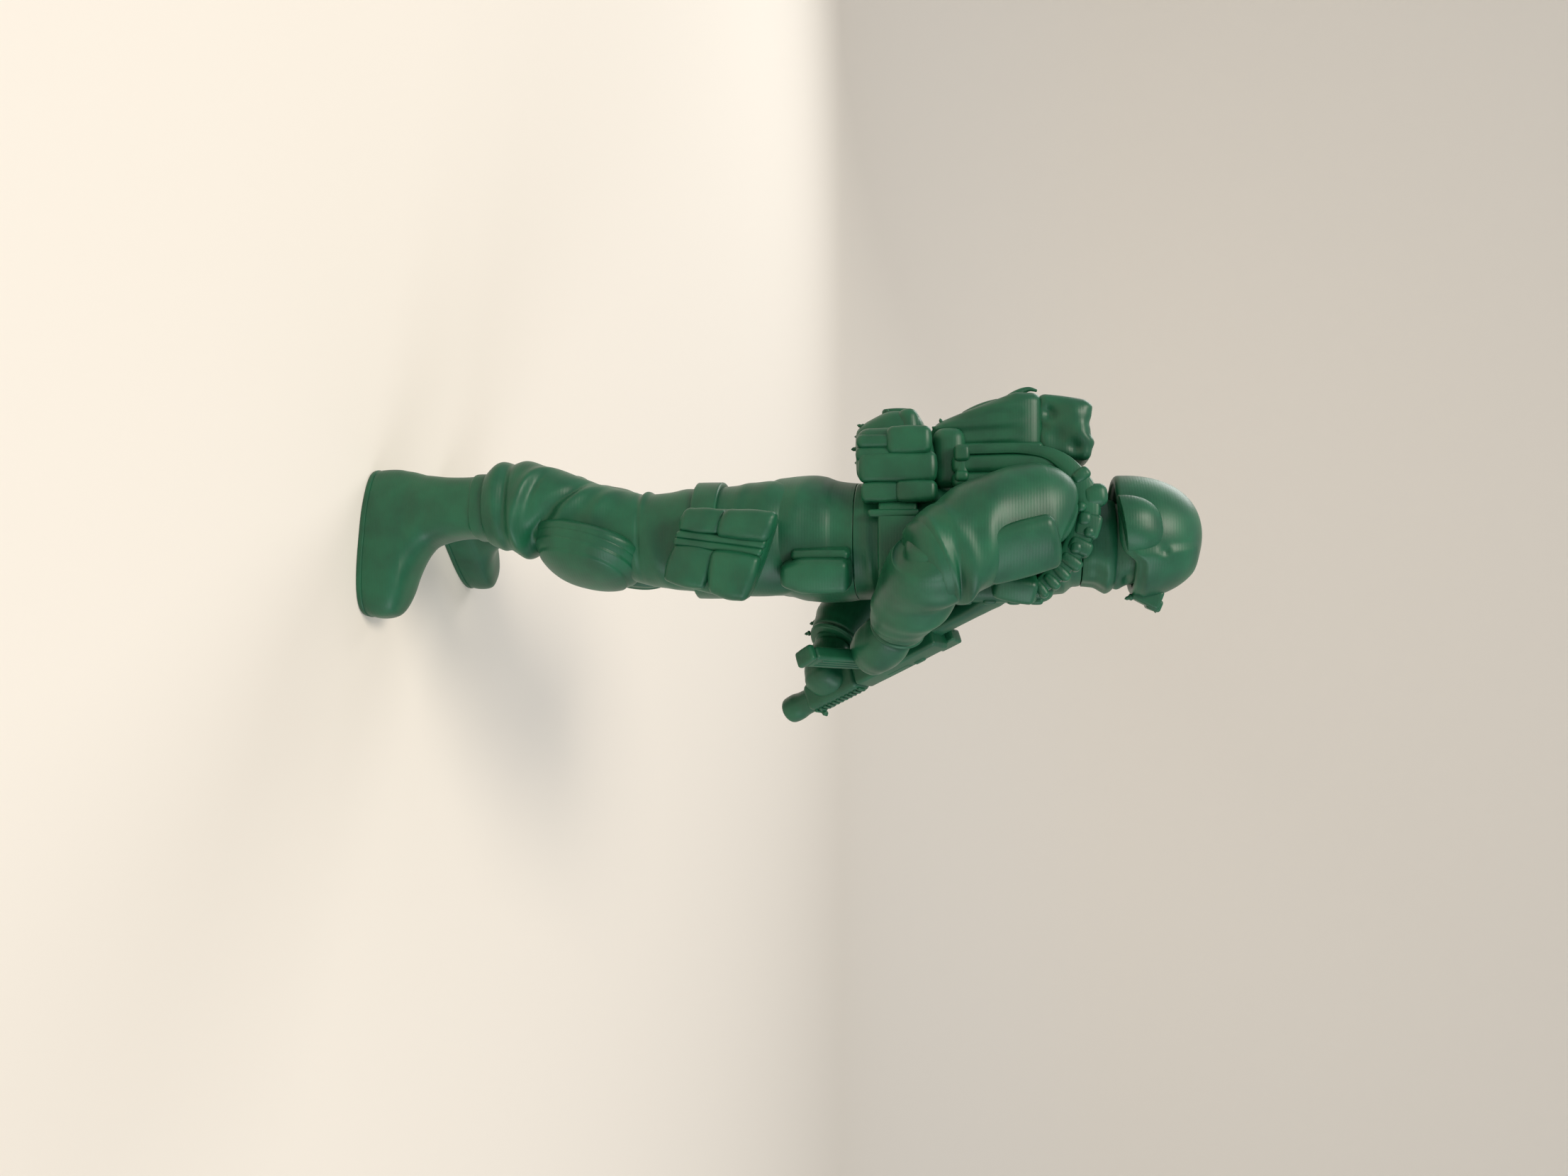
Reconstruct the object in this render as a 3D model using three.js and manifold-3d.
// Toy soldier: a plug-together plastic figure in patrol stance that turns at the waist and the neck.
// Millimetres. X points the way the figure faces, Y to its left and Z up.
import * as THREE from "three";
import { RoundedBoxGeometry } from "three/addons/geometries/RoundedBoxGeometry.js";
import { mergeVertices } from "three/addons/utils/BufferGeometryUtils.js";
import Module from "manifold-3d";

const wasm = await Module();
wasm.setup();

// Fits
const clearance = 0.2; // gap where pieces are plugged or glued on
const turnGap = 0.3; // gap at the two joints that turn
const pegSide = 2.2; // square pegs of the fixed joins
const pegDepth = 1.8;
const waistPegRadius = 2.4;
const waistPegHeight = 3.2;
const neckPegRadius = 1.7;
const neckPegHeight = 2.6;

// Heights, each counted from the level below it
const bootTop = 10.7; // above the floor
const shinLength = 10.1; // boot top to knee
const thighLength = 15.4; // knee to the top of the leg
const hipsHeight = 8.3;
const beltRise = 3.9; // waist to the middle of the belt
const elbowRise = 6.9; // waist to the right elbow
const chestRise = 12.5; // waist to the middle of the chest
const shoulderRise = 3; // chest to the shoulder joints
const neckRise = 4.2; // shoulder joints to the collar
const faceRise = 3.8; // collar to the helmet's rim

// Levels above the floor
const kneeLevel = bootTop + shinLength;
const legTop = kneeLevel + thighLength;
const waistLevel = legTop + hipsHeight;
const beltLevel = waistLevel + beltRise;
const elbowLevel = waistLevel + elbowRise;
const chestLevel = waistLevel + chestRise;
const shoulderLevel = chestLevel + shoulderRise;
const collarLevel = shoulderLevel + neckRise;
const rimLevel = collarLevel + faceRise;

// Boots
const soleThickness = 0.7;
const soleEdge = 0.25; // how far the sole stands out past the upper
const bootLength = 13.6;
const bootWidth = 5.3;
const heelReach = 3.6; // from the ankle back to the heel
const heelHeight = 4.6;
const instepHeight = 5.4;
const toeHeight = 4;
const shaftDepth = 5.5;
const shaftWidth = 5.2;
const rightToeOut = 10; // degrees
const leftToeOut = 46; // degrees

// Legs and hips
const stance = 15.6; // between the ankles
const ankleForward = -2.9;
const leftFootBack = 0.2; // the left foot stands this much further back
const cuffDepth = 6.4;
const blouseDepth = 8.6; // the trouser leg bloused over the boot
const shinDepth = 7.3;
const kneeDepth = 8;
const thighDepth = 10;
const thighWidth = 9;
const legSpread = 9.5; // between the legs at the hips
const hipDepth = 11;
const hipWidth = 16.6;

// Knee pads
const padHeight = 10;
const padWidth = 9.2;
const padReach = 3.2; // from the middle of the knee forward
const capHeight = 8.6;
const capWidth = 7.6;
const capRise = 0.6;
const padForward = 2; // egg's middle, before the middle of the knee
const padTilt = 13; // degrees, top leaning forward
const rightKneeOut = 18; // degrees, turned out with the foot
const leftKneeOut = 30; // degrees

// Gear on the legs
const thighPouchDrop = 2.8; // its middle, below the top of the leg
const thighPouchWidth = 7.2;
const thighPouchHeight = 8.4;
const thighPouchDepth = 2.7;
const thighPouchTilt = 10; // degrees, front edge down
const thighFlapDepth = 0.9;
const thighFlapHeight = 4;
const thighStrapHeight = 1.8;
const thighStrapThickness = 0.6;
const thighStrapDrop = 2; // below the middle of the pouch
const hipPocketWidth = 3.9;
const hipPocketHeight = 5;
const hipPocketDepth = 1.7;
const hipPocketTuck = 2; // part of its depth that the hips cut away
const hipPocketForward = 3.3;
const hipPocketInset = 0.6; // its middle, inside the widest line of the hips
const hipPocketDrop = 0.6; // below the top of the hips
const hipPocketTurn = 14; // degrees

// Jacket, vest and belt
const waistDepth = 10.6;
const waistWidth = 15.6;
const chestDepth = 10;
const chestWidth = 16.4;
const collarDepth = 6.9;
const collarWidth = 8.8;
const collarSlope = 0.8; // height of the slope at the neck
const vestWidth = 11.8;
const vestHeight = 9.4;
const vestReach = 5.75; // front of the vest, forward of the middle
const vestBackReach = 7.4;
const strapWidth = 2.5;
const strapThickness = 1.4;
const strapSpan = 12.4; // between the middles of the shoulder straps
const clipLength = 1.3;
const clipHeight = 1.1;
const sideStrapHeight = 1.6;
const sideStrapThickness = 0.7;
const chestTabHeight = 3.2;
const chestTabWidth = 1.8;
const beltHeight = 3.4;
const beltThickness = 0.8;
const buckleWidth = 3.2;
const buckleThickness = 0.8;

// Packs and pouches
const buttPackReach = 12; // back face, behind the middle
const buttPackWidth = 9.6;
const buttPackHeight = 5.5;
const rearPouchHeight = 6.6;
const rearPouchWidth = 4.2;
const rearPouchTuck = 2; // its middle behind the back of the waist
const rearPouchDepth = 4.4;
const pouchFlapThickness = 0.7;
const pouchFlapHeight = 3.4;
const sidePouchHeight = 6.3;
const sidePouchWidth = 1.8;
const sidePouchDepth = 2.4;
const backPackReach = 12.3;
const backPackWidth = 10.4;
const backPackHeight = 8.8;
const backPackLift = 3.4; // its base above the belt
const backPackSlope = 2.1; // how far its back comes in at the base
const backPackEdge = 0.6; // rounding at its base and top
const topPackReach = 12.1;
const topPackWidth = 9.2;
const topPackHeight = 4.4;

// Arms
const shoulderSpan = 17.2; // between the shoulder joints
const elbowForward = 2;
const leftElbowDrop = 6;
const rightElbowOut = 3.6; // past the shoulder joint
const leftElbowOut = 4.8;
const upperArmDepth = 8.6;
const forearmDepth = 6.4;
const cuffGirth = 4.6;
const gloveGirth = 4.5;
const rightHandDrop = 2.7; // middle of the fist below the receiver
const rightWristBack = 1.9; // from the middle of the fist
const rightWristOut = 2.3;
const rightWristUp = 1.9;
const leftHandIn = 1.5; // middle of the fist beside the handguard
const leftHandDrop = 0.9;
const leftWristBack = 2.6; // from the middle of the fist
const leftWristOut = 2.6;
const leftWristUp = 0.2;
const sleevePocketWidth = 4.2;
const sleevePocketHeight = 5;
const sleevePocketDepth = 1.5;

// Rifle, in its own frame: X to the muzzle from the butt, Z up through the sights
const buttForward = 5.6;
const buttOut = 4.3; // to the right
const buttRise = 0.2; // above the middle of the chest
const muzzleForward = 16.7;
const muzzleOut = 6.3; // to the left
const muzzleDrop = 7.9; // below the waist
const rifleRoll = 30; // degrees, magazine swung out to the right
const stockLength = 6.6;
const stockHeight = 2;
const receiverLength = 9.2;
const receiverHeight = 2.6;
const receiverWidth = 1.9;
const gripPlace = 11; // from the butt
const gripLength = 4.6;
const gripWidth = 1.2;
const magazinePlace = 13.4; // from the butt
const magazineLength = 8.4;
const magazineDepth = 2.4;
const magazineWidth = 1.2;
const magazineRake = 14; // degrees, foot forward
const handguardLength = 6;
const handguardSize = 2.3;
const railRibs = 6;
const barrelRadius = 0.75;
const muzzleRadius = 1.15;
const muzzleLength = 1.8;
const sightHeight = 1.5;
const sightWidth = 0.9;

// Head and helmet
const neckDepth = 6.4;
const faceReach = 3.9; // front of the face, forward of the middle
const gaiterThickness = 0.75;
const gaiterHeight = 2.7;
const cowlHeight = 1.6;
const cowlSpread = 2.4; // its lower edge, out from the neck
const cowlRoom = 1.1; // its upper edge, out from the neck
const helmetLength = 10.9;
const helmetWidth = 11;
const helmetHeight = 7;
const helmetWall = 0.8;
const rimRise = 10; // degrees, brim up at the front
const earLength = 5.2;
const earHeight = 4.6;
const earReach = 1.3; // past the helmet's side
const mountWidth = 2.6;
const mountHeight = 2.3;
const mountReach = 1.6;

const right = -1;
const left = 1;
const degrees = Math.PI / 180;
const point = (x, y, z) => new THREE.Vector3(x, y, z);
const forward = point(1, 0, 0);
const sideways = point(0, 1, 0);
const upward = point(0, 0, 1);

// Building blocks

// A closed geometry as a solid that can be joined and cut.
function solid(geometry) {
  const bare = new THREE.BufferGeometry();
  bare.setAttribute("position", geometry.getAttribute("position"));
  bare.setIndex(geometry.index);
  const merged = mergeVertices(bare, 1e-4);
  return new wasm.Manifold(
    new wasm.Mesh({
      numProp: 3,
      vertProperties: new Float32Array(merged.getAttribute("position").array),
      triVerts: new Uint32Array(merged.index.array),
    }),
  );
}

// An oval section: its middle, its two half sizes and how square its corners are.
function section(at, halfAcross, halfSide, square = 2.3) {
  return { at, half: [halfAcross, halfSide], square };
}

// A level section between a back and a front edge.
function level(z, back, front, y, halfWidth, square) {
  const oval = section(point((back + front) / 2, y, z), (front - back) / 2, halfWidth, square);
  return { ...oval, along: upward };
}

// A closed skin through a run of sections, grown outward all round on request.
function loft(sections, { grow = 0, across = forward, sides = 16 } = {}) {
  const last = sections.length - 1;
  const positions = [];
  const index = [];
  sections.forEach(({ at, half, square, along: fixed }, i) => {
    const run = sections[Math.min(i + 1, last)].at.clone().sub(sections[Math.max(i - 1, 0)].at);
    const along = fixed ?? run.normalize();
    const u = across.clone().addScaledVector(along, -across.dot(along)).normalize();
    const v = along.clone().cross(u);
    const push = i === 0 ? -grow : i === last ? grow : 0;
    const middle = at.clone().addScaledVector(along, push);
    for (let k = 0; k < sides; k++) {
      const angle = (2 * Math.PI * k) / sides;
      const bulge = (t) => Math.sign(t) * Math.abs(t) ** (2 / square);
      const rim = middle.clone();
      rim.addScaledVector(u, (half[0] + grow) * bulge(Math.cos(angle)));
      rim.addScaledVector(v, (half[1] + grow) * bulge(Math.sin(angle)));
      positions.push(rim.x, rim.y, rim.z);
    }
    if (i === 0 || i === last) positions.push(...middle.toArray());
  });
  const ring = (i, k) => i * sides + (k % sides) + (i > 0 ? 1 : 0);
  const startMiddle = sides;
  const endMiddle = positions.length / 3 - 1;
  for (let k = 0; k < sides; k++) {
    index.push(startMiddle, ring(0, k + 1), ring(0, k));
    index.push(endMiddle, ring(last, k), ring(last, k + 1));
    for (let i = 0; i < last; i++) {
      index.push(ring(i, k), ring(i, k + 1), ring(i + 1, k + 1));
      index.push(ring(i, k), ring(i + 1, k + 1), ring(i + 1, k));
    }
  }
  const geometry = new THREE.BufferGeometry();
  geometry.setAttribute("position", new THREE.Float32BufferAttribute(positions, 3));
  geometry.setIndex(index);
  return geometry;
}

// A rounded block about a middle point, turned about X, Y and Z in degrees.
function block(size, at, { turn = [0, 0, 0], round = 0.35, grow = 0 } = {}) {
  const [x, y, z] = size.map((s) => s + 2 * grow);
  const geometry = new RoundedBoxGeometry(x, y, z, 1, Math.min(round + grow, x / 3, y / 3, z / 3));
  const turned = new THREE.Euler(...turn.map((t) => t * degrees));
  return geometry.applyMatrix4(new THREE.Matrix4().makeRotationFromEuler(turned).setPosition(at));
}

// An egg-shaped solid.
function egg(at, radii, { grow = 0, turn = 0, swing = 0 } = {}) {
  const geometry = new THREE.SphereGeometry(1, 20, 12);
  geometry.scale(radii[0] + grow, radii[1] + grow, radii[2] + grow);
  return geometry.rotateY(turn * degrees).rotateZ(swing * degrees).translate(at.x, at.y, at.z);
}

// An upright round peg.
function roundPeg(radius, base, height, grow = 0) {
  const peg = new THREE.CylinderGeometry(radius + grow, radius + grow, height + grow, 24);
  return peg.rotateX(Math.PI / 2).translate(0, 0, base + (height + grow) / 2);
}

// A square peg that runs from a point along an axis, and the frame that points that axis.
function squarePeg(from, axis, grow = 0) {
  const length = pegDepth + clearance + grow;
  const peg = new THREE.BoxGeometry(pegSide + 2 * grow, pegSide + 2 * grow, length);
  const turn = new THREE.Quaternion().setFromUnitVectors(upward, axis);
  const at = from.clone().addScaledVector(axis, length / 2);
  return peg.applyMatrix4(new THREE.Matrix4().makeRotationFromQuaternion(turn).setPosition(at));
}

const cut = (body, ...tools) => tools.reduce((rest, tool) => rest.subtract(tool), body);
const above = (body, z) => body.trimByPlane([0, 0, 1], z);
const below = (body, z) => body.trimByPlane([0, 0, -1], -z);

// Satin green plastic all over.
const greenPlastic = { color: "#1c6b45", roughness: 0.45, metalness: 0 };
const soldier = new THREE.Group();

function piece(name, body) {
  const { numProp, vertProperties, triVerts } = body.getMesh();
  const geometry = new THREE.BufferGeometry();
  const positions = new THREE.InterleavedBuffer(new Float32Array(vertProperties), numProp);
  geometry.setAttribute("position", new THREE.InterleavedBufferAttribute(positions, 3, 0));
  geometry.setIndex(new THREE.BufferAttribute(new Uint32Array(triVerts), 1));
  const mesh = new THREE.Mesh(geometry, new THREE.MeshStandardMaterial(greenPlastic));
  mesh.name = name;
  soldier.add(mesh);
}

const sideName = (side) => (side === right ? "right" : "left");

// Boots

function footFrame(side) {
  const toeOut = side === right ? -rightToeOut : leftToeOut;
  const turn = new THREE.Matrix4().makeRotationZ(toeOut * degrees);
  return turn.setPosition(ankleAt(side).setZ(0));
}

function ankleAt(side) {
  const back = side === left ? leftFootBack : 0;
  return point(ankleForward - back, (side * stance) / 2, bootTop);
}

// The footprint, straight along X with the ankle at the origin.
function footprint(edge) {
  const toe = bootLength - heelReach + edge;
  const heel = -heelReach - edge;
  const half = bootWidth / 2 + edge;
  const outline = [
    [toe, 0],
    [toe - 1.1, 0.75 * half],
    [toe - 3.2, half],
    [toe / 3, 0.82 * half],
    [heel + 2, 0.88 * half],
    [heel + 0.4, 0.6 * half],
    [heel, 0],
  ];
  const rest = outline.slice(1, -1).reverse().map(([x, y]) => [x, -y]);
  const loop = [...outline, ...rest].map(([x, y]) => new THREE.Vector2(x, y));
  return new THREE.CatmullRomCurve3(loop.map((p) => point(p.x, p.y, 0)), true).getPoints(28).slice(0, -1);
}

function soleShape(side) {
  const shape = new THREE.Shape(footprint(soleEdge).map((p) => new THREE.Vector2(p.x, p.y)));
  const slab = new THREE.ExtrudeGeometry(shape, { depth: soleThickness, bevelEnabled: false });
  return solid(slab.applyMatrix4(footFrame(side)));
}

function bootShape(side) {
  const toe = bootLength - heelReach;
  const deep = soleThickness - 2; // the lower part is trimmed off flat
  const slice = (x, halfWidth, top) => {
    const oval = section(point(x, 0, (top + deep) / 2), (top - deep) / 2, halfWidth, 2.8);
    return { ...oval, along: forward };
  };
  const half = bootWidth / 2;
  const foot = loft(
    [
      slice(-heelReach, 0.55 * half, 0.7 * heelHeight),
      slice(-0.78 * heelReach, 0.85 * half, heelHeight),
      slice(0, 0.9 * half, instepHeight),
      slice(0.34 * toe, 0.9 * half, instepHeight),
      slice(0.5 * toe, 0.95 * half, toeHeight + 0.7),
      slice(0.76 * toe, half, toeHeight),
      slice(toe - 0.9, 0.85 * half, toeHeight - 0.5),
      slice(toe - 0.1, 0.5 * half, toeHeight - 1.4),
    ],
    { across: upward },
  );
  const shaft = loft([
    level(soleThickness, -heelReach, 0.62 * shaftDepth, 0, shaftWidth / 2),
    level(5, 0.2 - shaftDepth / 2, 0.55 * shaftDepth, 0, shaftWidth / 2),
    level(bootTop, -shaftDepth / 2, shaftDepth / 2, 0, shaftWidth / 2),
  ]);
  const peg = squarePeg(point(0, 0, bootTop), upward);
  const parts = [foot, shaft, peg].map((g) => solid(g.applyMatrix4(footFrame(side))));
  return above(parts[0].add(parts[1]).add(parts[2]), soleThickness + clearance);
}

// Legs

const hipAt = (side) => point(0.1, (side * legSpread) / 2, legTop);

// The middle line of the leg: straight up from the ankle, then leaning in to the hip.
function legMiddle(side, z) {
  const low = ankleAt(side);
  const high = hipAt(side);
  const lift = THREE.MathUtils.clamp((z - bootTop) / (legTop - bootTop), 0, 1);
  const lean = THREE.MathUtils.smoothstep(z, bootTop + 4, kneeLevel + 5);
  return point(THREE.MathUtils.lerp(low.x, high.x, lean), THREE.MathUtils.lerp(low.y, high.y, lift), z);
}

function legShape(side, grow = 0) {
  const hem = bootTop + clearance;
  const shin = hem + 5.3;
  const ring = (z, depth, width) => {
    const { x, y } = legMiddle(side, z);
    return level(z, x - depth / 2, x + depth / 2, y, width / 2);
  };
  const rings = [
    ring(hem, cuffDepth, cuffDepth - 0.4),
    ring(hem + 1.4, blouseDepth - 0.4, blouseDepth - 1.2),
    ring(hem + 2.6, blouseDepth - 1, blouseDepth - 1.5),
    ring(hem + 3.7, blouseDepth, blouseDepth - 0.9),
    ring(shin, shinDepth, shinDepth - 0.2),
    ring(kneeLevel - 1.5, shinDepth, shinDepth - 0.2),
    ring(kneeLevel + 1.2, kneeDepth - 0.3, kneeDepth - 0.6),
    ring(kneeLevel + 4.9, kneeDepth + 0.3, kneeDepth - 0.3),
    ring((kneeLevel + legTop) / 2 + 2, thighDepth - 0.9, thighWidth - 0.3),
    ring(legTop, thighDepth, thighWidth),
  ];
  return solid(loft(rings, { grow }));
}

function legPiece(side) {
  const ankleSocket = squarePeg(point(0, 0, bootTop), upward, clearance).applyMatrix4(footFrame(side));
  const hipPeg = squarePeg(hipAt(side).setZ(legTop), upward);
  return legShape(side).subtract(solid(ankleSocket)).add(solid(hipPeg));
}

function hipsShape(grow = 0) {
  const base = legTop + clearance;
  const top = waistLevel - turnGap;
  const ring = (z, back, front, width) => level(z, back, front, 0, width / 2, 2.6);
  const rings = [
    ring(base, -hipDepth / 2 + 0.1, hipDepth / 2 - 0.4, hipWidth + 0.8),
    ring(base + 1.7, -hipDepth / 2 - 0.3, hipDepth / 2 - 0.2, hipWidth + 0.6),
    ring(base + 5, -hipDepth / 2, hipDepth / 2 + 0.2, hipWidth - 0.4),
    ring(top, -hipDepth / 2 + 0.4, hipDepth / 2 + 0.4, hipWidth - 1),
  ];
  return solid(loft(rings, { grow }));
}

function hipsPiece() {
  const sockets = [right, left].map((side) => solid(squarePeg(hipAt(side), upward, clearance)));
  const top = waistLevel - turnGap;
  const overlap = 0.5; // the peg starts a little inside the hips
  const peg = solid(roundPeg(waistPegRadius, top - overlap, waistPegHeight + turnGap + overlap));
  return cut(hipsShape(), ...sockets).add(peg);
}

// Knee pads

const kneeSwing = (side) => (side === right ? -rightKneeOut : leftKneeOut);
const kneeFacing = (side) => forward.clone().applyAxisAngle(upward, kneeSwing(side) * degrees);
const padMiddle = (side) => legMiddle(side, kneeLevel).addScaledVector(kneeFacing(side), padForward);

function kneePadShape(side, grow = 0) {
  const radii = [padReach, padWidth / 2, padHeight / 2];
  return solid(egg(padMiddle(side), radii, { grow, turn: padTilt, swing: kneeSwing(side) }));
}

function kneePadPiece(side) {
  const facing = kneeFacing(side);
  const backEdge = facing.dot(padMiddle(side)) - 0.7 * padForward;
  const shell = cut(kneePadShape(side), legShape(side, clearance));
  return shell.trimByPlane(facing.toArray(), backEdge);
}

function kneeCapPiece(side) {
  const facing = kneeFacing(side);
  const radii = [padReach + clearance + capRise, capWidth / 2, capHeight / 2];
  const dome = solid(egg(padMiddle(side), radii, { turn: padTilt, swing: kneeSwing(side) }));
  const front = facing.dot(padMiddle(side)) + 0.4 * padReach;
  return cut(dome, kneePadShape(side, clearance)).trimByPlane(facing.toArray(), front);
}

// Gear on the right thigh and hip

const thighPouchLevel = legTop - thighPouchDrop;
const thighSide = legMiddle(right, thighPouchLevel).y - thighWidth / 2;

function thighPouchPart(size, x, z, out) {
  const at = point(x, -out, z).applyAxisAngle(sideways, thighPouchTilt * degrees);
  at.add(point(1.3, thighSide - thighPouchDepth / 2 + 0.5, thighPouchLevel));
  return solid(block(size, at, { turn: [0, thighPouchTilt, 0] }));
}

function thighPouchPieces() {
  const out = thighPouchDepth / 2 + clearance + thighFlapDepth / 2;
  const flapTop = thighPouchHeight / 2 - thighFlapHeight / 2;
  const strapGap = 1;
  const rearWidth = 0.36 * thighPouchWidth;
  const frontWidth = thighPouchWidth - rearWidth - strapGap - 2 * clearance;
  const rearMiddle = (rearWidth - thighPouchWidth) / 2;
  const strapMiddle = rearMiddle + rearWidth / 2 + clearance + strapGap / 2;
  const frontMiddle = (thighPouchWidth - frontWidth) / 2;
  const body = thighPouchPart([thighPouchWidth, thighPouchDepth, thighPouchHeight], 0, 0, 0);
  const flap = (width, x) => thighPouchPart([width, thighFlapDepth, thighFlapHeight], x, flapTop, out);
  const strapSize = [strapGap, thighFlapDepth, thighPouchHeight - 0.4];
  piece("thigh_pouch", cut(body, legShape(right, clearance)));
  piece("thigh_pouch_rear_flap", flap(rearWidth, rearMiddle));
  piece("thigh_pouch_front_flap", flap(frontWidth, frontMiddle));
  piece("thigh_pouch_strap", thighPouchPart(strapSize, strapMiddle, 0, out));
  const strapLevel = thighPouchLevel - thighStrapDrop;
  const slab = below(
    above(legShape(right, clearance + thighStrapThickness), strapLevel - thighStrapHeight / 2),
    strapLevel + thighStrapHeight / 2,
  );
  const grownSize = [thighPouchWidth, thighPouchDepth, thighPouchHeight].map((s) => s + 2 * clearance);
  const strap = cut(slab, legShape(right, clearance), thighPouchPart(grownSize, 0, 0, 0));
  piece("thigh_strap", strap);
}

function hipPocketPiece() {
  const z = waistLevel - turnGap - hipPocketDrop - hipPocketHeight / 2;
  const at = point(hipPocketForward, right * (hipWidth / 2 - hipPocketInset), z);
  const size = [hipPocketWidth, hipPocketDepth + hipPocketTuck, hipPocketHeight];
  const pocket = solid(block(size, at, { turn: [0, 0, hipPocketTurn] }));
  return cut(pocket, hipsShape(clearance));
}

// Jacket, vest and belt

function jacketShape(grow = 0) {
  const ring = (z, back, front, width) => level(z, back, front, 0, width / 2, 2.5);
  const slopeLevel = (shoulderLevel + collarLevel) / 2 + 0.3;
  const rings = [
    ring(waistLevel, -waistDepth / 2 + 0.2, waistDepth / 2 + 0.2, waistWidth),
    ring(beltLevel, -waistDepth / 2, waistDepth / 2, waistWidth),
    ring(chestLevel, -chestDepth / 2 - 0.3, chestDepth / 2 - 0.4, chestWidth),
    ring(shoulderLevel, -chestDepth / 2 - 0.4, chestDepth / 2 - 0.5, chestWidth),
    ring(slopeLevel, -chestDepth / 2 + 0.5, chestDepth / 2 - 0.8, chestWidth - 2),
    ring(collarLevel - collarSlope, -collarDepth / 2, collarDepth / 2, collarWidth),
    ring(collarLevel, -neckDepth / 2, neckDepth / 2, neckDepth + 1),
  ];
  return solid(loft(rings, { grow, sides: 24 }));
}

function jacketPiece(armPegs) {
  const socket = solid(roundPeg(waistPegRadius, waistLevel - 1, waistPegHeight + turnGap + 1, turnGap));
  const neckPeg = solid(roundPeg(neckPegRadius, collarLevel - 0.5, neckPegHeight + 0.5));
  return cut(jacketShape(), socket).add(neckPeg).add(armPegs[0]).add(armPegs[1]);
}

function beltShape(grow = 0) {
  const ring = jacketShape(clearance + beltThickness + grow);
  const half = beltHeight / 2 + grow;
  return below(above(ring, beltLevel - half), beltLevel + half);
}

const vestMiddle = chestLevel + 0.1;

function vestShape(front, grow = 0) {
  const outer = front ? vestReach : -vestBackReach;
  const depth = 4;
  const at = point(outer - Math.sign(outer) * (depth / 2), 0, vestMiddle);
  return solid(block([depth, vestWidth, vestHeight], at, { round: 0.8, grow }));
}

// A band over the shoulder from the back vest to the front vest.
function shoulderStrapShape(side, grow = 0) {
  const y = (side * strapSpan) / 2;
  const vestTop = vestMiddle + vestHeight / 2 + clearance + strapThickness / 2;
  const path = [
    [-vestBackReach + 0.7, vestTop],
    [-chestDepth / 2 - 0.2, collarLevel - 1.1],
    [-chestDepth / 2 + 1.7, collarLevel + 0.1],
    [0, collarLevel],
    [chestDepth / 2 - 2, collarLevel - 0.9],
    [vestReach - 1, vestTop + 0.3],
  ];
  const sections = path.map(([x, z]) => section(point(x, y, z), strapWidth / 2, strapThickness / 2, 4));
  return solid(loft(sections, { grow, across: sideways, sides: 12 }));
}

// The clip that stands on top of a shoulder strap.
function strapClipPiece(side) {
  const y = (side * strapSpan) / 2;
  const top = collarLevel + 0.1 + strapThickness / 2;
  const at = point(-chestDepth / 2 + 1.7, y, top + clipHeight / 2);
  const clip = solid(block([clipLength, strapWidth + 0.3, clipHeight + 0.6], at, { round: 0.2 }));
  return cut(clip, shoulderStrapShape(side, clearance));
}

// The strap that ties the back vest to the jacket under the arm.
function sideStrapShape(side) {
  const z = vestMiddle - vestHeight / 2 + 2;
  const size = [3.4, 2.4, sideStrapHeight];
  const at = point(-vestBackReach + 2.2, side * (vestWidth / 2 + 0.6 + sideStrapThickness), z);
  return solid(block(size, at, { round: 0.25 }));
}

function chestTabShape() {
  const at = point(vestReach - 1.6, right * (vestWidth / 2 + 1), chestLevel + 1.5);
  return solid(block([chestTabWidth, 2, chestTabHeight], at, { turn: [0, 12, 20], round: 0.3 }));
}

function bucklePiece() {
  const outer = waistDepth / 2 + clearance + beltThickness;
  const at = point(outer + buckleThickness / 2, 0, beltLevel);
  const plate = solid(block([buckleThickness + 0.6, buckleWidth, beltHeight - 0.6], at, { round: 0.25 }));
  return cut(plate, beltShape(clearance));
}

// Arms: upper arm, forearm and glove, each run through a few sections.

const shoulderAt = (side) => point(-1.2, (side * shoulderSpan) / 2, shoulderLevel);

function elbowAt(side) {
  const drop = side === left ? leftElbowDrop : 0;
  const out = side === left ? leftElbowOut : rightElbowOut;
  return point(elbowForward, side * (shoulderSpan / 2 + out), elbowLevel - drop);
}

// A point part of the way between two others, pushed aside.
function between(a, b, share, push = point(0, 0, 0)) {
  return a.clone().lerp(b, share).add(push);
}

function upperArmShape(side, grow = 0) {
  const top = shoulderAt(side);
  const elbow = elbowAt(side);
  const half = upperArmDepth / 2;
  const sections = [
    section(top.clone().add(point(-0.1, -side * 0.5, 3)), 0.5 * half, 0.5 * half),
    section(top.clone().add(point(-0.2, -side * 0.2, 2.1)), 0.88 * half, 0.72 * half),
    section(top, half, 0.85 * half),
    section(between(top, elbow, 0.45, point(-0.2, 0, 0)), 0.97 * half, 0.85 * half),
    section(between(top, elbow, 0.85), 0.84 * half, 0.8 * half),
    section(elbow, 0.76 * half, 0.74 * half),
  ];
  return solid(loft(sections, { grow }));
}

function forearmShape(side, wrist, grow = 0) {
  const elbow = elbowAt(side).add(point(0, 0, -0.6));
  const half = forearmDepth / 2;
  const sections = [
    section(between(elbow, wrist, -0.2), 0.45 * half, 0.45 * half),
    section(between(elbow, wrist, -0.1), 0.85 * half, 0.85 * half),
    section(between(elbow, wrist, 0.12), half, half),
    section(between(elbow, wrist, 0.5, point(0, 0, 0.3)), half, 0.95 * half),
    section(between(elbow, wrist, 0.85), 0.8 * half, 0.78 * half),
    section(wrist, cuffGirth / 2, cuffGirth / 2),
  ];
  return solid(loft(sections, { grow, across: upward }));
}

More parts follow.
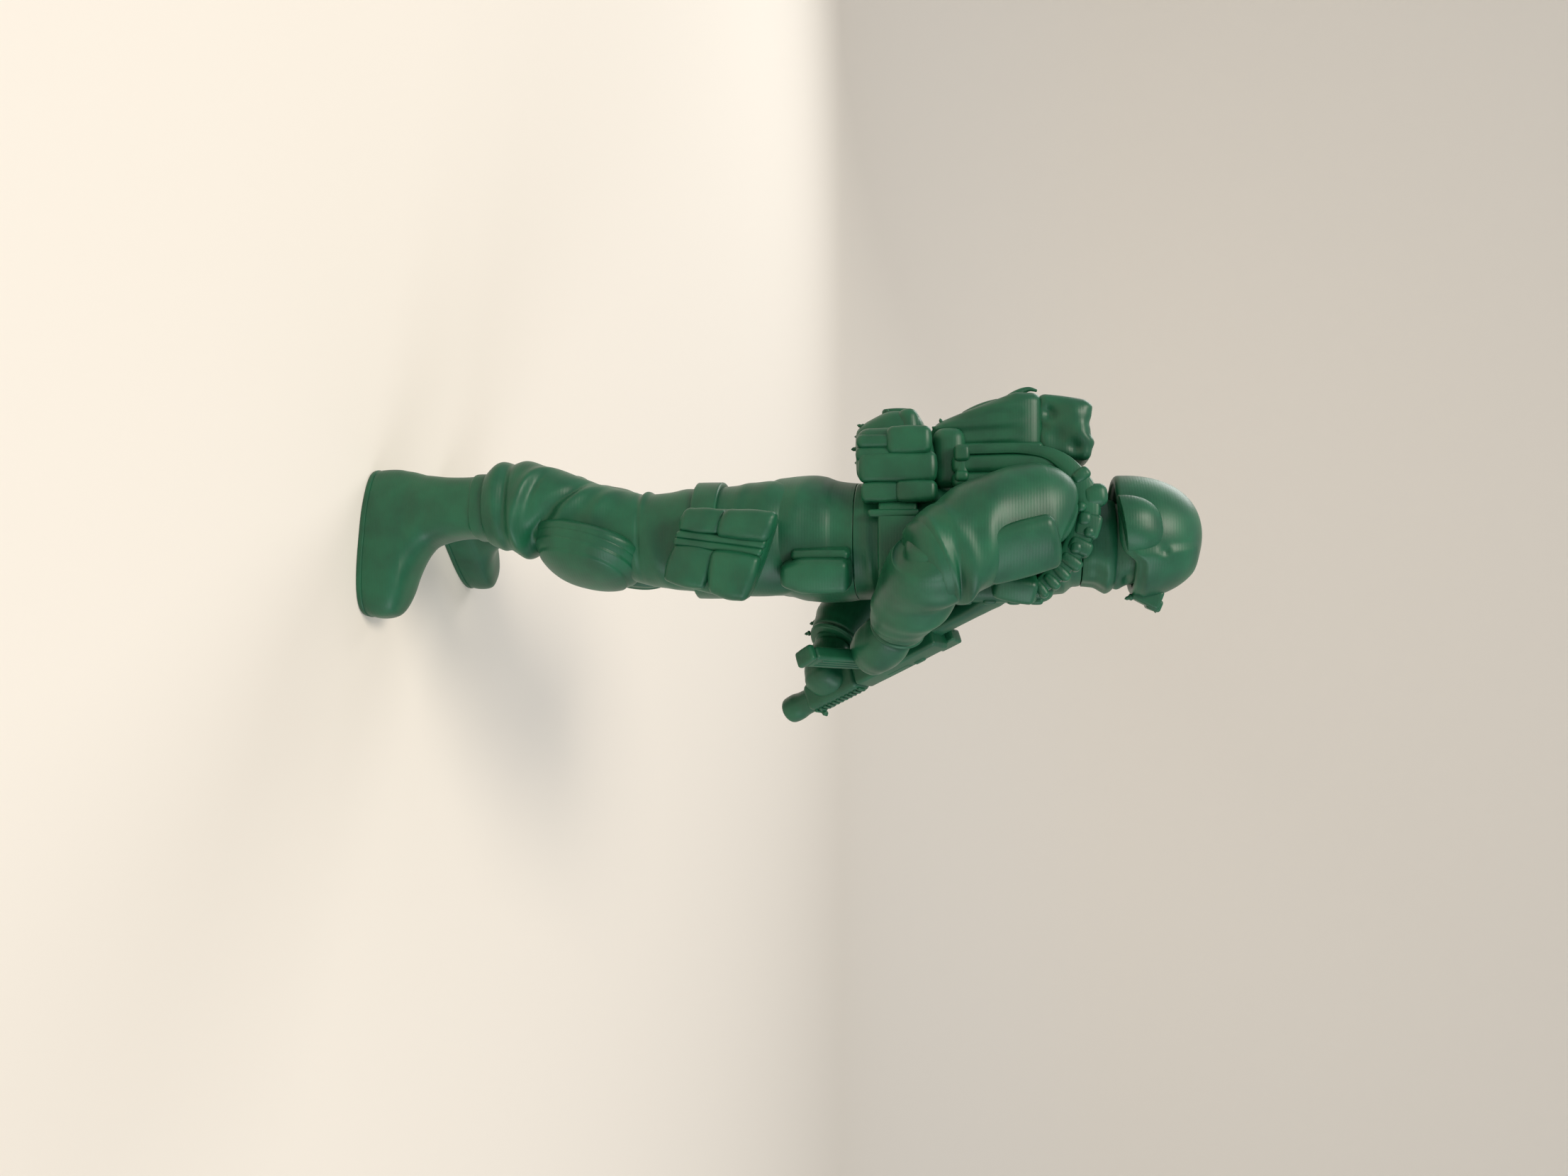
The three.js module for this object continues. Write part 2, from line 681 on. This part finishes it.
// A closed fist that starts just past the cuff.
function gloveShape(wrist, fist, grow = 0) {
  const axis = fist.clone().sub(wrist).normalize();
  const start = wrist.clone().addScaledVector(axis, clearance);
  const half = gloveGirth / 2;
  const sections = [
    section(start, 0.72 * half, 0.72 * half),
    section(between(start, fist, 0.45), 0.95 * half, 0.95 * half),
    section(fist, half, half),
    section(between(start, fist, 1.35), 0.85 * half, 0.85 * half),
    section(between(start, fist, 1.55), 0.45 * half, 0.45 * half),
  ];
  return solid(loft(sections, { grow, across: upward }));
}

// Rifle

const rifleButt = point(buttForward, right * buttOut, chestLevel + buttRise);
const rifleMuzzle = point(muzzleForward, left * muzzleOut, waistLevel - muzzleDrop);

function rifleFrame() {
  const toMuzzle = rifleMuzzle.clone().sub(rifleButt).normalize();
  const aside = toMuzzle.clone().cross(upward).normalize();
  const up = aside.clone().cross(toMuzzle).applyAxisAngle(toMuzzle, -rifleRoll * degrees);
  const flank = up.clone().cross(toMuzzle);
  return new THREE.Matrix4().makeBasis(toMuzzle, flank, up).setPosition(rifleButt);
}

const rifle = rifleFrame();
const onRifle = (x, y, z) => point(x, y, z).applyMatrix4(rifle);
const rifleSolid = (geometry) => solid(geometry.applyMatrix4(rifle));
const receiverStart = stockLength + clearance;
const receiverEnd = receiverStart + receiverLength;
const handguardStart = receiverEnd + clearance;
const handguardEnd = handguardStart + handguardLength;
const barrelStart = handguardEnd + clearance;
const rifleLength = rifleMuzzle.distanceTo(rifleButt);

function stockShape(grow = 0) {
  const bar = (x, height, width) => section(point(x, 0, 0), height / 2, width / 2, 3);
  const sections = [
    bar(0, stockHeight + 0.6, 1.5),
    bar(1.4, stockHeight + 0.5, 1.5),
    bar(2.2, stockHeight - 0.4, 1.4),
    bar(stockLength, stockHeight - 0.5, 1.4),
  ];
  return rifleSolid(loft(sections, { grow, across: upward, sides: 12 }));
}

function receiverShape(grow = 0) {
  const at = point((receiverStart + receiverEnd) / 2, 0, -0.1);
  return rifleSolid(block([receiverLength, receiverWidth, receiverHeight], at, { grow }));
}

function gripShape(grow = 0) {
  const top = -receiverHeight / 2 - 0.1 - clearance;
  const at = point(gripPlace - 0.3, 0, top - gripLength / 2);
  const tilted = block([1.6, gripWidth, gripLength], at, { turn: [0, 9, 0], grow });
  return rifleSolid(tilted).subtract(receiverShape(clearance));
}

function magazineShape(length, size, drop, grow = 0) {
  const lean = magazineRake * degrees;
  const top = -receiverHeight / 2 - 0.1;
  const along = drop + length / 2;
  const at = point(magazinePlace + Math.sin(lean) * along, 0, top - Math.cos(lean) * along);
  return rifleSolid(block([size[0], size[1], length], at, { turn: [0, -magazineRake, 0], grow }));
}

const magazineBox = (grow) => magazineShape(magazineLength, [magazineDepth, magazineWidth], 0, grow);

function handguardShape(grow = 0) {
  const middle = (handguardStart + handguardEnd) / 2;
  const size = [handguardLength, handguardSize, handguardSize];
  let body = rifleSolid(block(size, point(middle, 0, 0), { round: 0.5, grow }));
  const pitch = handguardLength / (railRibs + 1);
  for (let i = 1; i <= railRibs; i++) {
    const at = point(handguardStart + i * pitch, 0, handguardSize / 2);
    body = body.add(rifleSolid(block([0.45 * pitch, 1.1, 0.7], at, { round: 0.1, grow })));
  }
  return body;
}

function barrelShape(grow = 0) {
  const thin = barrelRadius + grow;
  const thick = muzzleRadius + grow;
  const shoulder = rifleLength - muzzleLength - grow;
  const profile = [
    [0, barrelStart],
    [thin, barrelStart],
    [thin, shoulder],
    [thick, shoulder + 0.2],
    [thick, rifleLength - 0.4],
    [0.7 * thick, rifleLength],
    [0, rifleLength],
  ];
  const turned = new THREE.LatheGeometry(profile.map(([r, y]) => new THREE.Vector2(r, y)), 14);
  return rifleSolid(turned.rotateZ(-Math.PI / 2));
}

function sightShape(x, base, height, length) {
  const at = point(x, 0, base + clearance + height / 2);
  return rifleSolid(block([length, sightWidth, height], at, { round: 0.15 }));
}

function riflePieces(bodyShapes) {
  const sightBase = receiverHeight / 2 - 0.1;
  const receiver = receiverShape();
  piece("rifle_stock", cut(stockShape(), ...bodyShapes));
  piece("rifle_receiver", receiver);
  piece("rifle_grip", gripShape());
  piece("rifle_magazine", cut(magazineBox(), receiverShape(clearance)));
  const plateSize = [magazineDepth + 0.6, magazineWidth + 0.5];
  piece("rifle_magazine_plate", magazineShape(0.7, plateSize, magazineLength + clearance));
  piece("rifle_handguard", handguardShape());
  piece("rifle_barrel", barrelShape());
  piece("rifle_rear_sight", sightShape(receiverStart + 1.2, sightBase, sightHeight, 2.2));
  const frontPost = sightShape(barrelStart + 0.5, barrelRadius, sightHeight + 0.6, 0.8);
  piece("rifle_front_sight", cut(frontPost, handguardShape(clearance), barrelShape(clearance)));
}

const rightFist = onRifle(gripPlace, 0, -receiverHeight / 2 - rightHandDrop);
const leftFist = onRifle((handguardStart + handguardEnd) / 2, leftHandIn, -leftHandDrop);
const wrists = {
  [right]: rightFist.clone().add(point(-rightWristBack, right * rightWristOut, rightWristUp)),
  [left]: leftFist.clone().add(point(-leftWristBack, left * leftWristOut, leftWristUp)),
};

function armPieces(side, bodyShapes, fist, gripped) {
  const name = sideName(side);
  const wrist = wrists[side];
  const upper = upperArmShape(side);
  const socket = solid(squarePeg(shoulderPegStart(side), point(0, side, 0), clearance));
  piece(`${name}_upper_arm`, cut(upper, ...bodyShapes, socket));
  piece(`${name}_forearm`, cut(forearmShape(side, wrist), upperArmShape(side, clearance), ...bodyShapes));
  const glove = cut(gloveShape(wrist, fist), forearmShape(side, wrist, clearance), ...gripped);
  piece(`${name}_glove`, glove);
}

// A fixed square peg from the jacket into the upper arm.
function shoulderPegStart(side) {
  return point(shoulderAt(side).x, side * (chestWidth / 2 - 0.4), shoulderLevel);
}

function sleevePocketPiece(side) {
  const at = shoulderAt(side).add(point(2.4, side * (0.85 * upperArmDepth / 2 - 0.1), -1.2));
  const size = [sleevePocketWidth, sleevePocketDepth + 1, sleevePocketHeight];
  const pocket = solid(block(size, at, { turn: [side * 12, 0, -side * 28], round: 0.6 }));
  return cut(pocket, upperArmShape(side, clearance));
}

// Packs and pouches

function packBetween(back, front, width, base, height, grow = 0) {
  const at = point((back + front) / 2, 0, base + height / 2);
  return solid(block([front - back, width, height], at, { round: 0.7, grow }));
}

const buttPackShape = (grow) =>
  packBetween(-buttPackReach, -waistDepth / 2, buttPackWidth, waistLevel + 0.1, buttPackHeight, grow);
const packFront = -vestBackReach - clearance;
const backPackBase = beltLevel + backPackLift;

function backPackPieces() {
  const top = backPackBase + backPackHeight;
  const ring = (z, back, inset) => level(z, back + inset, packFront, 0, backPackWidth / 2 - inset, 6);
  const low = backPackSlope - backPackReach;
  const pack = solid(loft([
    ring(backPackBase, low, backPackEdge),
    ring(backPackBase + backPackEdge, low, 0),
    ring(top - backPackEdge, -backPackReach, 0),
    ring(top, -backPackReach, backPackEdge),
  ]));
  const topBase = top + clearance;
  const topPack = packBetween(-topPackReach, packFront, topPackWidth, topBase, topPackHeight);
  piece("back_pack", pack);
  piece("back_pack_top", topPack);
}

const rearPouchMiddle = -waistDepth / 2 - rearPouchTuck;
const pouchBase = waistLevel + 0.4;

function rearPouchPieces(side) {
  const name = sideName(side);
  const y = side * (waistWidth / 2 - 2);
  const size = [rearPouchWidth, rearPouchDepth, rearPouchHeight];
  const rear = solid(block(size, point(rearPouchMiddle, y, pouchBase + rearPouchHeight / 2), { round: 0.5 }));
  const worn = [beltShape(clearance), jacketShape(clearance), vestShape(false, clearance)];
  piece(`${name}_rear_pouch`, cut(rear, ...worn, buttPackShape(clearance)));
  const flapOut = y + side * (rearPouchDepth / 2 + clearance + pouchFlapThickness / 2);
  const flapAt = point(rearPouchMiddle - 0.2, flapOut, pouchBase + rearPouchHeight - pouchFlapHeight / 2);
  const flapSize = [rearPouchWidth - 0.8, pouchFlapThickness, pouchFlapHeight];
  piece(`${name}_rear_pouch_flap`, solid(block(flapSize, flapAt, { round: 0.2 })));
}

// The narrow pouch in front of the right rear pouch.
function sidePouchPiece() {
  const x = rearPouchMiddle + rearPouchWidth / 2 + clearance + sidePouchWidth / 2;
  const y = right * (waistWidth / 2 - 2 + 0.3 * sidePouchDepth);
  const size = [sidePouchWidth, sidePouchDepth + 2, sidePouchHeight];
  const pouch = solid(block(size, point(x, y, pouchBase + sidePouchHeight / 2), { round: 0.3 }));
  return cut(pouch, beltShape(clearance), jacketShape(clearance));
}

// Head

const helmetMiddle = point(-0.3, 0, rimLevel);
const helmetRadii = [helmetLength / 2, helmetWidth / 2, helmetHeight];

function helmetOuter(grow = 0) {
  return solid(egg(helmetMiddle, helmetRadii, { grow }));
}

function helmetInner(grow = 0) {
  return solid(egg(helmetMiddle, helmetRadii.map((r) => r - helmetWall), { grow }));
}

// The open shell, with its rim rising towards the front.
function helmetShape(grow = 0) {
  const slope = rimRise * degrees;
  const up = [-Math.sin(slope), 0, Math.cos(slope)];
  const reach = up[0] * helmetMiddle.x + up[2] * (rimLevel + 0.2) - grow;
  return helmetOuter(grow).subtract(helmetInner(-grow)).trimByPlane(up, reach);
}

function faceShape(grow = 0) {
  const base = collarLevel + turnGap;
  const back = -neckDepth / 2 + 0.3;
  const rings = [
    level(base, back, faceReach - 0.5, 0, neckDepth / 2 - 0.2),
    level(base + 1.5, back - 0.1, faceReach, 0, neckDepth / 2),
    level(base + 3.2, back - 0.4, faceReach - 0.1, 0, neckDepth / 2 + 0.3),
    level(rimLevel + 2, back - 0.6, faceReach - 0.6, 0, neckDepth / 2 + 0.4),
  ];
  return solid(loft(rings, { grow, sides: 20 }));
}

function headPiece() {
  const skull = above(helmetInner(-clearance), rimLevel - 0.3);
  const socket = solid(roundPeg(neckPegRadius, collarLevel, neckPegHeight, turnGap));
  return cut(faceShape().add(skull), helmetShape(clearance), socket);
}

function gaiterPiece() {
  const base = collarLevel + turnGap + 0.1;
  const grown = below(above(faceShape(clearance + gaiterThickness), base), base + gaiterHeight);
  return cut(grown, faceShape(clearance), helmetShape(clearance));
}

function earCoverPiece(side) {
  const at = helmetMiddle.clone().add(point(-0.7, side * (helmetWidth / 2 - 1.6), 0.9));
  const cover = solid(egg(at, [earLength / 2, 1.6 + earReach, earHeight / 2]));
  return above(cut(cover, helmetOuter(clearance)), rimLevel - 0.1);
}

function mountPiece() {
  const front = helmetMiddle.x + helmetLength / 2;
  const size = [mountReach + 2, mountWidth, mountHeight];
  const at = point(front + mountReach / 2 - 1.2, 0, rimLevel + 2.5);
  return cut(solid(block(size, at, { turn: [0, -14, 0] })), helmetOuter(clearance));
}

// The collar of cloth round the neck, below the face gaiter.
function cowlPiece(straps) {
  const base = collarLevel - cowlHeight;
  const reach = chestDepth / 2 - clearance;
  const rim = neckDepth / 2 + cowlRoom;
  const rings = [
    level(base, -reach, reach, 0, neckDepth / 2 + cowlSpread),
    level(collarLevel, -rim, rim, 0, rim),
  ];
  return cut(solid(loft(rings, { sides: 20 })), jacketShape(clearance), ...straps);
}

// Assembly

function legPieces() {
  piece("hips", hipsPiece());
  for (const side of [right, left]) {
    const name = sideName(side);
    piece(`${name}_boot_sole`, soleShape(side));
    piece(`${name}_boot`, bootShape(side));
    piece(`${name}_leg`, legPiece(side));
    piece(`${name}_knee_pad`, kneePadPiece(side));
    piece(`${name}_knee_cap`, kneeCapPiece(side));
  }
  thighPouchPieces();
  piece("hip_pocket", hipPocketPiece());
}

function vestPieces() {
  const jacketRoom = jacketShape(clearance);
  const vestRooms = [vestShape(true, clearance), vestShape(false, clearance)];
  const straps = [right, left].map((side) => shoulderStrapShape(side));
  piece("vest_front", cut(vestShape(true), jacketRoom));
  piece("vest_back", cut(vestShape(false), jacketRoom));
  straps.forEach((strap, i) => {
    const side = [right, left][i];
    piece(`${sideName(side)}_shoulder_strap`, cut(strap, jacketRoom, ...vestRooms));
    piece(`${sideName(side)}_strap_clip`, strapClipPiece(side));
    const sideStrap = cut(sideStrapShape(side), jacketRoom, ...vestRooms, upperArmShape(side, clearance));
    piece(`${sideName(side)}_side_strap`, sideStrap);
  });
  piece("neck_cowl", cowlPiece([right, left].map((side) => shoulderStrapShape(side, clearance))));
  return [jacketRoom, ...vestRooms];
}

function beltPieces() {
  piece("belt", cut(beltShape(), jacketShape(clearance)));
  piece("belt_buckle", bucklePiece());
  piece("butt_pack", cut(buttPackShape(), beltShape(clearance), jacketShape(clearance)));
  rearPouchPieces(right);
  rearPouchPieces(left);
  piece("right_side_pouch", sidePouchPiece());
}

function torsoPieces() {
  const pegs = [right, left].map((side) => solid(squarePeg(shoulderPegStart(side), point(0, side, 0))));
  piece("jacket", jacketPiece(pegs));
  const worn = vestPieces();
  beltPieces();
  backPackPieces();
  const rifleRoom = [receiverShape, gripShape, handguardShape, magazineBox].map((shape) => shape(clearance));
  const straps = [right, left].map((side) => shoulderStrapShape(side, clearance));
  const armRoom = [...worn, ...straps, beltShape(clearance)];
  armPieces(right, armRoom, rightFist, rifleRoom);
  armPieces(left, armRoom, leftFist, rifleRoom);
  piece("right_sleeve_pocket", sleevePocketPiece(right));
  piece("chest_tab", cut(chestTabShape(), ...worn, upperArmShape(right, clearance)));
  riflePieces([...worn, upperArmShape(right, clearance), forearmShape(right, wrists[right], clearance)]);
}

function headPieces() {
  piece("head", headPiece());
  piece("face_gaiter", gaiterPiece());
  piece("helmet", helmetShape());
  piece("right_ear_cover", earCoverPiece(right));
  piece("left_ear_cover", earCoverPiece(left));
  piece("helmet_mount", mountPiece());
}

legPieces();
torsoPieces();
headPieces();
soldier.updateMatrixWorld(true);
const box = new THREE.Box3().setFromObject(soldier);
soldier.position.set(-(box.min.x + box.max.x) / 2, -(box.min.y + box.max.y) / 2, -box.min.z);

export default soldier;
